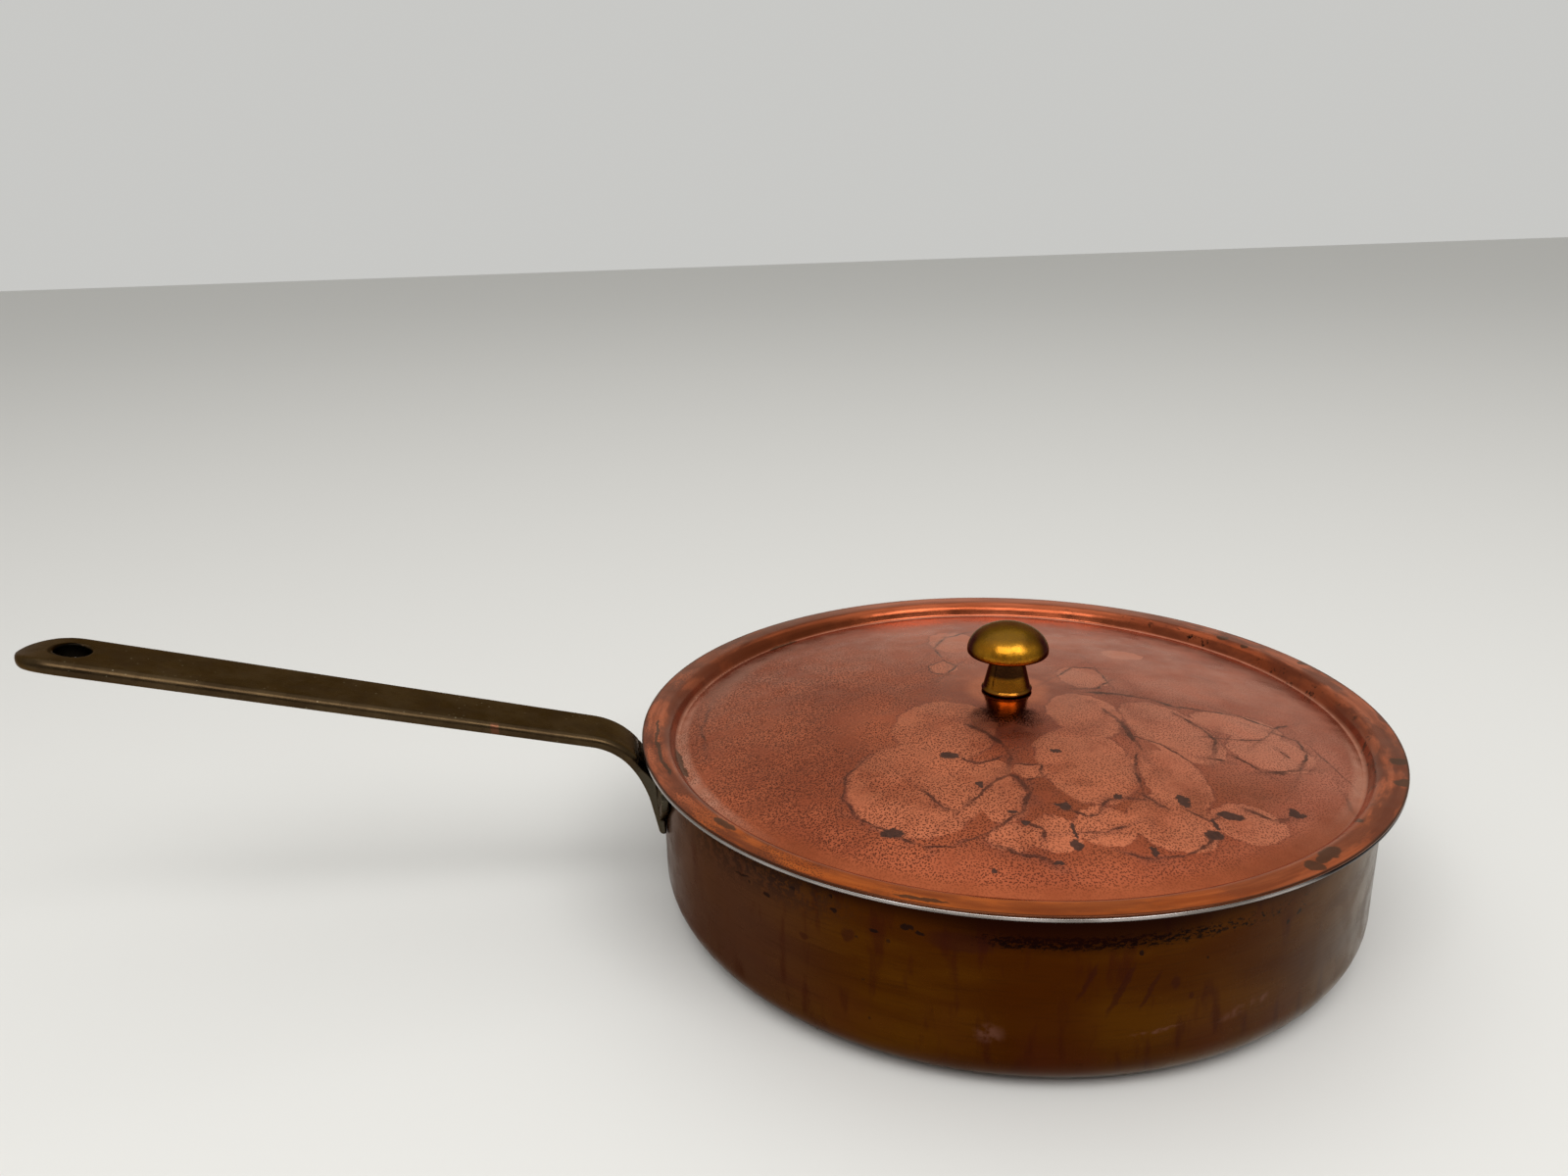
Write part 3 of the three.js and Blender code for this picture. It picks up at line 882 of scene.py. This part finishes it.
def lid_water(f, lid):
    """Pale puddles and their shores, and dark veins between them with the stains beside those."""
    puddle = f.nearest(lid.loose, puddles)
    inside = f.ramp(puddle, 1.02, 0.95)
    pale = f.product(inside, f.ramp(f.noise(14, 4, 0.6), 0.3, 0.55, 0.35, 1))
    off_shore = f.math("ABSOLUTE", f.math("SUBTRACT", puddle, 1))
    shore = f.product(f.ramp(off_shore, 0.05, 0), f.ramp(f.noise(9, 3), 0.38, 0.56))
    path = f.nearest(lid.ragged, [oval for vein in veins for oval in strokes(*vein)])
    faded = f.ramp(f.noise(5, 4), 0.35, 0.6, 0.4, 1)
    vein = f.product(f.ramp(path, 1.3, 0.6), faded)
    stain = f.product(f.ramp(path, 4, 0.8), f.ramp(f.noise(6, 4), 0.38, 0.6))
    return pale, shore, vein, stain


def lid_stipple(f, lid):
    """Dark pits all over the dome, faint towards the back and finer to the right."""
    lid.rosy = f.ramp(f.math("ADD", lid.across, f.product(lid.away, 0.7)), -50, 70)
    drawn = f.scaled(lid.place, 1, 0.85, 1)
    lid.fine = f.ramp(f.cells(0.8, drawn, "2D"), 0.33, 0.19)
    coarse = f.product(f.ramp(f.cells(1.6, drawn, "2D"), 0.2, 0.12), f.inverse(lid.rosy))
    worms = f.product(f.ramp(f.noise(1.0, 1), 0.52, 0.58), f.ramp(lid.across, -30, -75))
    grain = f.math("ADD", f.math("ADD", lid.fine, coarse), f.product(worms, 0.5), clamp=True)
    front = f.ramp(f.math("ADD", lid.away, f.product(lid.across, 0.6)), 80, -10, 0.12, 1)
    cloud = f.ramp(f.noise(12, 4), 0.3, 0.5, 0.4, 1)
    smooth = f.product(lid.near, f.ramp(lid.uneven, 106, 111, 0, 0.7))
    strong = f.product(f.ramp(lid.across, -40, 10, 1.2, 0.95), f.ramp(lid.reach, 14, 30, 0.25, 1))
    return f.product(grain, front, cloud, strong, f.inverse(lid.rim), f.inverse(smooth))


def lid_dome(f, lid, water, stipple):
    """The dome, from clean copper to the smoky middle, pinker to the right and the back."""
    pale, shore, vein, stain = water
    clouds = f.ramp(f.noise(24, 5, 0.62), 0.35, 0.65)
    warm = f.mix(clouds, (0.38, 0.088, 0.038), (0.54, 0.138, 0.060))
    cool = f.mix(clouds, (0.43, 0.118, 0.066), (0.58, 0.195, 0.120))
    f.tone = f.mix(lid.rosy, warm, cool)
    front_right = f.product(f.ramp(lid.away, -46, -66), f.ramp(lid.across, -55, -5))
    patches = f.ramp(f.noise(12, 3), 0.3, 0.55, 0.4, 1)
    brown = f.product(front_right, f.ramp(lid.reach, 102, 92), patches)
    f.coat((0.28, 0.068, 0.028), brown, 0.7)
    middle = f.ramp(f.oval(lid.loose, 8, -12, 46, 34), 1.5, 0.1)
    smoke = f.product(middle, f.ramp(f.noise(11, 4), 0.3, 0.6))
    f.coat((0.28, 0.072, 0.042), smoke, 0.75)
    # Painted reflection: the dome round the knob's foot glows orange, standing in for the brass stem
    # mirrored in the copper.
    knob_reflection = f.ramp(lid.reach, 16, 11, 0, 0.6)
    f.coat((0.68, 0.20, 0.09), knob_reflection)
    washed = f.mix(lid.rosy, (0.72, 0.225, 0.110), (0.76, 0.275, 0.165))
    f.coat(washed, pale, 0.68)
    f.coat((0.23, 0.066, 0.042), shore, 0.55)
    f.coat((0.25, 0.075, 0.046), stain, 0.5)
    f.coat((0.095, 0.034, 0.023), vein, 0.92)
    f.coat((0.080, 0.020, 0.011), stipple, 0.72)


def lid_flange(f, lid):
    """The streaked flange, and the groove and the fold where it meets the dome, with painted light
    and shade on them.
    """
    lid.ring = f.ring_place()
    streaks = f.ramp(f.noise(3.2, 4, 0.6, f.scaled(lid.ring, 0.1, 1, 0)), 0.35, 0.65)
    # Painted light: the flange's front gets a brighter, more orange tone than its sides.
    side = f.mix(streaks, (0.36, 0.078, 0.026), (0.62, 0.160, 0.066))
    fore = f.mix(streaks, (0.44, 0.085, 0.012), (0.66, 0.150, 0.024))
    lit = f.product(lid.near, f.ramp(lid.across, 75, 5, 0.3, 1))
    f.coat(f.mix(lit, side, fore), lid.rim, 0.95)
    # Painted reflection: a pale band on the dome's outer edge at the back, where the flange is
    # mirrored.
    back_rim_reflection = f.product(f.between(lid.reach, 98, 106, 110.5, 112.5), f.ramp(lid.away, -10, 50))
    f.coat((0.42, 0.22, 0.16), back_rim_reflection, 0.6)
    # A pale band along the fold: pale deposits, and a painted highlight on the fold's curve.
    f.coat((0.74, 0.36, 0.25), lid.fold, f.noise(5, 3))
    f.coat((0.19, 0.038, 0.013), lid.groove, f.inverse(lid.near), 0.7)
    right_side = f.ramp(lid.across, 40, 95, 0, 1.3)
    left_side = f.ramp(lid.across, -40, -90, 0, 1.2)
    dark_side = f.math("MAXIMUM", right_side, left_side)
    dark_side = f.math("MAXIMUM", dark_side, f.product(lid.near, 0.6))
    blotch = f.ramp(f.noise(7, 4, 0.6, f.scaled(lid.ring, 0.3, 1, 0)), 0.4, 0.56)
    blotch = f.product(lid.rim, dark_side, blotch, f.inverse(lid.fold))
    f.coat((0.15, 0.036, 0.017), blotch, 0.6)
    far_left = f.product(lid.rim, f.ramp(lid.away, 20, 75), f.ramp(lid.across, -20, -65))
    f.coat((0.12, 0.026, 0.006), far_left, 0.5)
    # Painted shadow: a darker band in front, where the flange's inner edge meets the dome.
    foot = f.product(f.between(lid.reach, 104, 110, 113, 117), lid.near)
    f.coat((0.27, 0.062, 0.018), foot, 0.45)


def lid_dirt_and_edge_shade(f, lid):
    """Dirt in the groove, freckles on the flange at the left, and painted shade darkening the
    flange's outer edge.
    """
    dirt = f.ramp(f.noise(3, 6, 0.72, f.scaled(lid.ring, 0.5, 1, 0)), 0.55, 0.62)
    patchy = f.product(f.ramp(f.noise(26, 2), 0.45, 0.55), f.ramp(lid.across, 30, 70))
    f.coat((0.02, 0.009, 0.006), lid.groove, dirt, patchy)
    scattered = f.ramp(f.noise(22, 3), 0.4, 0.5)
    freckles = f.product(lid.fine, scattered, f.ramp(lid.across, -30, -80))
    outer = f.math("MAXIMUM", f.ramp(lid.reach, 118.5, 120), lid.fold)
    f.coat((0.12, 0.03, 0.012), freckles, outer, 0.8)
    # Painted shade: the copper's outer edge darkens where it meets the steel bead.
    edge = f.ramp(lid.reach, lid_radius - 0.9, lid_radius - 0.2)
    f.coat((0.035, 0.018, 0.012), edge, 0.85)


def lid_finish():
    f = Finish("lid_copper", metallic=1, specular_tint=(1, 0.88, 0.8, 1))
    lid = lid_zones(f)
    water = lid_water(f, lid)
    stipple = lid_stipple(f, lid)
    lid_dome(f, lid, water, stipple)
    lid_flange(f, lid)
    lid_dirt_and_edge_shade(f, lid)
    burnt = f.marks(f.warp(lid.ragged, 1.2, 0.4), dome_spots, 0.14)
    film = f.marks(lid.ragged, flange_spots, 0.14)
    f.coat((0.078, 0.035, 0.018), film, 0.85)
    burnt_tone = f.mix(f.noise(1.4, 3), (0.03, 0.016, 0.013), (0.11, 0.055, 0.042))
    f.coat(burnt_tone, burnt, 0.95)
    rough = f.ramp(f.noise(9, 4), 0.3, 0.7, 0.25, 0.38)
    rough = f.math("ADD", rough, f.product(f.math("MAXIMUM", burnt, stipple), 0.15))
    rough = f.math("SUBTRACT", rough, f.product(lid.rim, 0.1))
    rough = f.math("SUBTRACT", rough, f.ramp(lid.reach, 18, 32, 0.2, 0), clamp=True)
    spun = f.noise(0.5, 2, at=f.rings())
    relief = f.math("SUBTRACT", f.product(spun, 0.2), f.product(stipple, 0.5))
    normal = f.bump(f.noise(20, 2), 0.5, f.bump(relief, 0.05))
    return f.finish(rough, normal)


def pan_zones(f):
    """Places on the pan's wall."""
    pan = SimpleNamespace()
    pan.wall = f.wall()
    pan.height = f.parts(pan.wall)["Y"]
    pan.around = f.parts(pan.wall)["X"]
    # The length round the wall starts and ends behind the plate, so both ends fade to one look.
    pan.end = f.ramp(pan.around, 270, 370)
    return pan


def wall_patina(f, pan, lines):
    """Brown and olive bands with a redder patch, duller at the left, and drips down the wall."""
    bands = f.noise(15, 4, at=f.scaled(f.mm, 0.22, 0.22, 1))
    f.tone = f.mix(f.ramp(bands, 0.35, 0.65), (0.056, 0.0138, 0.0010), (0.087, 0.0275, 0.0014))
    redder = f.between(pan.around, -238, -224, -212, -198)
    f.coat((0.052, 0.011, 0.0006), redder, 0.7)
    dull = f.math("MAXIMUM", f.ramp(pan.around, -262, -320), pan.end)
    f.coat((0.066, 0.027, 0.018), dull, 0.8)
    red = f.product(f.ramp(f.noise(22, 4), 0.4, 0.65), f.ramp(pan.height, 34, 8))
    f.coat((0.070, 0.013, 0.006), red, 0.4)
    slanted = f.turn(f.scaled(pan.wall, 1, 0.25, 0), 35)
    drips = f.ramp(f.noise(6, 4, at=slanted), 0.53, 0.7, 0, 0.6)
    f.coat((0.038, 0.006, 0.003), drips)
    f.coat((0.03, 0.008, 0.002), f.ramp(lines, 0.5, 0.8, 0, 0.35))


def wall_scale(f, pan):
    """Loose specks, and a broken band of black scale below the rim in front."""
    specks = f.product(f.ramp(f.cells(6), 0.13, 0.07), f.ramp(f.noise(16, 3), 0.53, 0.6))
    f.coat((0.015, 0.007, 0.005), specks, 0.8)
    scale = f.noise(1.1, 6, 0.78, f.scaled(pan.wall, 0.6, 1, 0))
    band = f.between(pan.height, 45, 47.5, 49.5, 52)
    where = f.between(pan.around, -238, -226, -200, -110)
    crowded = f.product(where, band, f.ramp(pan.around, -185, -212, 0.13, 0.155))
    flakes = f.ramp(f.math("ADD", scale, crowded), 0.60, 0.64)
    f.coat((0.004, 0.0025, 0.002), flakes, band, f.ramp(where, 0, 0.1))


def wall_marks(f, pan):
    """Stains, a painted shadow under the hem in front, specks and smudges, each in its own place."""
    loose = f.warp(pan.wall, 2.5, 0.5)
    f.coat((0.034, 0.007, 0.004), f.marks(loose, wall_stains, 0.3), 0.6)
    # Painted shadow under the lid's hem, in front.
    f.coat((0.010, 0.0015, 0.001), f.marks(loose, wall_hem_shadow, 0.5), 0.8)
    ragged = f.warp(loose, 1.2, 0.3)
    f.coat((0.012, 0.005, 0.004), f.marks(ragged, wall_specks), 0.9)
    smudge = f.product(f.marks(loose, wall_smudges, 0.6), f.ramp(f.noise(2.5, 4), 0.35, 0.6))
    f.coat((0.15, 0.06, 0.04), smudge, 0.6)


def wall_edges(f, pan):
    """The rubbed foot, grime at the left, painted shade at the top of the wall under the lid, and
    the rim rubbed bare.
    """
    rub = f.product(f.ramp(pan.height, 3.5, 1.2), f.noise(12, 4))
    f.coat((0.22, 0.09, 0.05), rub, 0.8)
    left = f.math("MAXIMUM", f.ramp(pan.around, -256, -296), pan.end)
    grime = f.product(left, f.ramp(f.noise(2.4, 6, 0.75), 0.46, 0.52))
    grime = f.product(grime, f.ramp(pan.height, 40, 52))
    f.coat((0.020, 0.010, 0.008), grime, 0.8)
    # Painted shade: the top of the wall darkens all round, where the lid's hem shades it.
    f.coat((0.009, 0.002, 0.001), f.ramp(pan.height, 49, 56), 0.9)
    worn_rim = f.ramp(pan.height, pan_height - 0.6, pan_height - 0.2)
    f.coat((0.30, 0.11, 0.05), worn_rim, 0.8)


def pan_finish():
    f = Finish("pan_copper", metallic=1)
    pan = pan_zones(f)
    clean = f.product(f.ramp(pan.around, -330, -140), f.inverse(pan.end))
    gloss = f.mix(clean, (0.66, 0.56, 0.51), (0.86, 0.84, 0.79))
    f.feed(f.inputs["Specular Tint"], gloss)
    lines = f.noise(0.7, 3, at=f.scaled(f.mm, 0.06, 0.06, 1))
    wall_patina(f, pan, lines)
    wall_scale(f, pan)
    wall_marks(f, pan)
    wall_edges(f, pan)
    rough = f.ramp(f.noise(10, 5), 0.3, 0.7, 0.18, 0.32)
    normal = f.bump(f.noise(26, 2), 0.4, f.bump(lines, 0.02))
    return f.finish(rough, normal)


def handle_finish():
    f = Finish("handle_brass", metallic=1, specular_tint=(0.60, 0.52, 0.46, 1))
    clouds = f.ramp(f.noise(14, 5, 0.6), 0.35, 0.65)
    f.tone = f.mix(clouds, (0.044, 0.027, 0.013), (0.066, 0.042, 0.020))
    darker = f.ramp(f.noise(2.6, 5, 0.6), 0.5, 0.75, 0, 0.45)
    f.coat((0.030, 0.018, 0.009), darker)
    along, side, height = f.parts(f.mm)
    mark = f.product(f.between(along, -173.8, -173, -171.4, -170.6), f.ramp(side, -8.5, -10))
    f.coat((0.11, 0.045, 0.024), mark)
    specks = f.product(f.ramp(f.cells(2.2), 0.14, 0.07), f.ramp(f.noise(12, 3), 0.5, 0.6))
    f.coat((0.26, 0.21, 0.13), specks, 0.8)
    # Painted shade: the eye's bore and rim darken nearly to black.
    from_eye = f.vector("DISTANCE", f.flat, (-eye_reach, 0, 0))
    bore = f.ramp(from_eye, eye_radius + 0.7, eye_radius + 0.2)
    f.coat((0.004, 0.003, 0.002), bore)
    reach = f.reach()
    flank = f.product(
        f.ramp(reach, lid_radius + 8, lid_radius + 2), f.ramp(height, ledge + 2, ledge - 6)
    )
    f.coat((0.058, 0.052, 0.038), flank, 0.7)
    # Dark grime on the handle's root just under the lid's flange, with painted shade there too.
    root = f.product(f.ramp(reach, lid_radius + 6, lid_radius), f.ramp(height, ledge - 4, ledge - 1))
    grime = f.ramp(f.noise(1.8, 5, 0.65), 0.4, 0.6)
    f.coat((0.012, 0.009, 0.006), root, grime, 0.85)
    rough = f.ramp(f.noise(6, 5), 0.3, 0.7, 0.2, 0.36)
    normal = f.bump(f.noise(1.6, 3), 0.03, f.bump(f.noise(14, 2), 0.2))
    return f.finish(rough, normal)


def knob_finish():
    gloss = dict(specular_tint=(0.5, 0.38, 0.2, 1), coat_weight=0.08, coat_roughness=0.2)
    f = Finish("knob_brass", metallic=1, **gloss)
    height = f.parts(f.mm)["Z"]
    f.tone = f.mix(f.ramp(f.noise(6, 5), 0.35, 0.65), (0.34, 0.135, 0.006), (0.48, 0.21, 0.012))
    dull = f.ramp(f.noise(1.6, 5, 0.7), 0.5, 0.7)
    f.coat((0.20, 0.09, 0.010), dull, 0.4)
    top = f.ramp(height, knob_top - 5.5, knob_top - 2.5)
    f.coat((0.135, 0.070, 0.009), top, 0.8)
    stem = f.ramp(height, knob_top - 9, knob_top - 12)
    f.coat((0.32, 0.10, 0.006), stem, 0.6)
    # Painted shade: the top of the stem darkens under the cap.
    under_cap = f.product(stem, f.ramp(height, knob_foot + 5, knob_foot + 6.5))
    f.coat((0.022, 0.006, 0.003), under_cap, 0.92)
    # Painted shadow: a thin dark band where the knob's foot sits on the lid.
    foot = f.ramp(height, knob_foot + 0.4, knob_foot + 0.2)
    f.coat((0.03, 0.014, 0.005), foot, 0.8)
    ring = f.ramp(height, knob_foot + 1.8, knob_foot + 1.2)
    f.coat((0.13, 0.05, 0.006), ring, 0.6)
    # Painted shade: the knob's sides darken where they are seen edge-on, the top less so.
    grazing = f.ramp(f.add("LayerWeight").outputs["Facing"], 0.12, 0.55)
    flank = f.ramp(height, knob_top - 1, knob_top - 5, 0.25, 1)
    f.coat((0.045, 0.016, 0.002), grazing, flank)
    rough = f.ramp(f.noise(2.0, 5), 0.3, 0.7, 0.18, 0.34)
    rough = f.math("SUBTRACT", rough, f.product(stem, 0.1))
    normal = f.bump(f.noise(0.9, 3), 0.05)
    return f.finish(rough, normal)


def lining_finish():
    """Bright turned steel, greyer from wear where it shows round the lid's edge, with painted shade
    making that edge nearly black on the right and along its underside.
    """
    f = Finish("bright_lining", metallic=1)
    f.tone = f.mix(f.noise(9, 5), (0.52, 0.52, 0.50), (0.70, 0.70, 0.68))
    hem = f.ramp(f.reach(), lid_radius - 3, lid_radius - 1)
    worn_and_shaded_edge = f.mix(f.ramp(f.noise(30, 3), 0.4, 0.6), (0.26, 0.23, 0.21), (0.46, 0.42, 0.40))
    # Painted shade: the edge darkens nearly to black on the right and along its underside.
    right = f.ramp(f.parts(f.turn(f.flat, lid_turn))["X"], 52, 68)
    shaded_underside = f.ramp(f.parts(f.mm)["Z"], flange_top - 1.3, flange_top - 1.9)
    dark = f.math("MAXIMUM", right, f.product(shaded_underside, 0.7))
    worn_and_shaded_edge = f.mix(dark, worn_and_shaded_edge, (0.012, 0.007, 0.006))
    f.coat(worn_and_shaded_edge, hem)
    turned_marks = f.noise(0.8, 2, at=f.rings())
    rough = f.ramp(turned_marks, 0.3, 0.7, 0.2, 0.32)
    return f.finish(rough, f.bump(turned_marks, 0.01))


def rivet_finish():
    """Copper heads inside the pan and ends as dark as the plate outside."""
    f = Finish("rivet_copper", metallic=1, specular_tint=(0.60, 0.52, 0.46, 1))
    f.tone = f.mix(f.ramp(f.noise(2.6, 4), 0.35, 0.65), (0.28, 0.12, 0.06), (0.45, 0.2, 0.11))
    outside = f.ramp(f.reach(), pan_radius, pan_radius + 1)
    f.coat((0.050, 0.044, 0.030), outside)
    rough = f.ramp(f.noise(2, 4), 0.3, 0.7, 0.28, 0.45)
    return f.finish(rough, f.bump(f.noise(1.6, 2), 0.12))


def fastener_finish():
    f = Finish("fastener_steel", metallic=1)
    f.tone = f.mix(f.noise(3, 4), (0.42, 0.42, 0.40), (0.58, 0.58, 0.56))
    turned_marks = f.noise(0.3, 2, at=f.rings())
    rough = f.ramp(turned_marks, 0.3, 0.7, 0.24, 0.4)
    return f.finish(rough, f.bump(turned_marks, 0.02))


# Scene


def camera():
    """The camera that the photograph was taken with, worked out from the pan's outlines."""
    place = Vector((-0.1293, -0.3741, 0.2338))
    yaw, pitch, roll = math.radians(8), math.radians(17.94), math.radians(1.54)
    focal_pixels, image_width, sensor = 1240, 1600, 36
    ahead = Vector(
        (math.sin(yaw) * math.cos(pitch), math.cos(yaw) * math.cos(pitch), -math.sin(pitch))
    )
    level = Vector((math.cos(yaw), -math.sin(yaw), 0))
    down = ahead.cross(level)
    right = math.cos(roll) * level + math.sin(roll) * down
    up = math.sin(roll) * level - math.cos(roll) * down
    data = bpy.data.cameras.new("camera")
    data.sensor_width = sensor
    data.lens = focal_pixels / image_width * sensor
    data.clip_start = 0.01
    made = bpy.data.objects.new("camera", data)
    aim = Matrix((right, up, -ahead)).transposed().to_4x4()
    made.matrix_world = Matrix.Translation(place) @ aim
    bpy.context.scene.collection.objects.link(made)
    bpy.context.scene.camera = made


def lamp(name, place, target, size, power):
    data = bpy.data.lights.new(name, "AREA")
    data.shape = "RECTANGLE"
    data.size, data.size_y = size
    data.energy = power
    made = bpy.data.objects.new(name, data)
    made.location = place
    made.rotation_mode = "QUATERNION"
    made.rotation_quaternion = (Vector(target) - Vector(place)).to_track_quat("-Z", "Y")
    bpy.context.scene.collection.objects.link(made)


def lights():
    """A soft lamp overhead and two high windows on the camera's side."""
    centre = (0, 0, 0.05)
    lamp("overhead", (0, 0.1, 1.8), centre, (2.4, 2.4), 9)
    lamp("window_left", (-0.45, -0.75, 1.10), centre, (0.9, 0.7), 7)
    lamp("window_right", (0.36, -0.80, 1.10), centre, (0.6, 0.7), 6)


def room():
    """The world: pale behind the pan and above it, dimmer on the camera's side."""
    world = bpy.data.worlds.new("room")
    bpy.context.scene.world = world
    made = Shader(world, "Background")
    look = made.parts(made.add("TexCoord").outputs["Generated"])
    behind_and_above = made.math("ADD", look["Y"], look["Z"])
    dim, pale = 0.34, 0.58
    made.feed(made.inputs["Color"], (1, 1, 0.97, 1))
    made.feed(made.inputs["Strength"], made.ramp(behind_and_above, -0.35, 0.5, dim, pale))


def floor():
    half_side = 4000
    mesh = bmesh.new()
    bmesh.ops.create_grid(mesh, x_segments=1, y_segments=1, size=half_side)
    piece = mesh_object("floor", mesh)
    piece.data.transform(Matrix.Scale(1 / METRE, 4))
    matt = Shader(bpy.data.materials.new("floor"), "Principled BSDF")
    matt.feed(matt.inputs["Base Color"], (0.69, 0.68, 0.655, 1))
    matt.feed(matt.inputs["Roughness"], 0.7)
    piece.data.materials.append(matt.made)


camera()
lights()
room()
floor()
steel = lining_finish()
rivet_copper = rivet_finish()
fastener = fastener_finish()
pan_body(pan_finish())
pan_lining(steel)
handle(handle_finish())
for node, side, height in (
    ("rivet_upper_left", -rivet_side, rivet_upper),
    ("rivet_upper_right", rivet_side, rivet_upper),
    ("rivet_lower", 0, rivet_lower),
):
    rivet(node, side, height, rivet_copper)
lid_shell(lid_finish())
lid_lining(steel)
knob(knob_finish())
washer(fastener)
screw(fastener)

bpy.context.scene.view_settings.view_transform = "Standard"
bpy.context.view_layer.update()
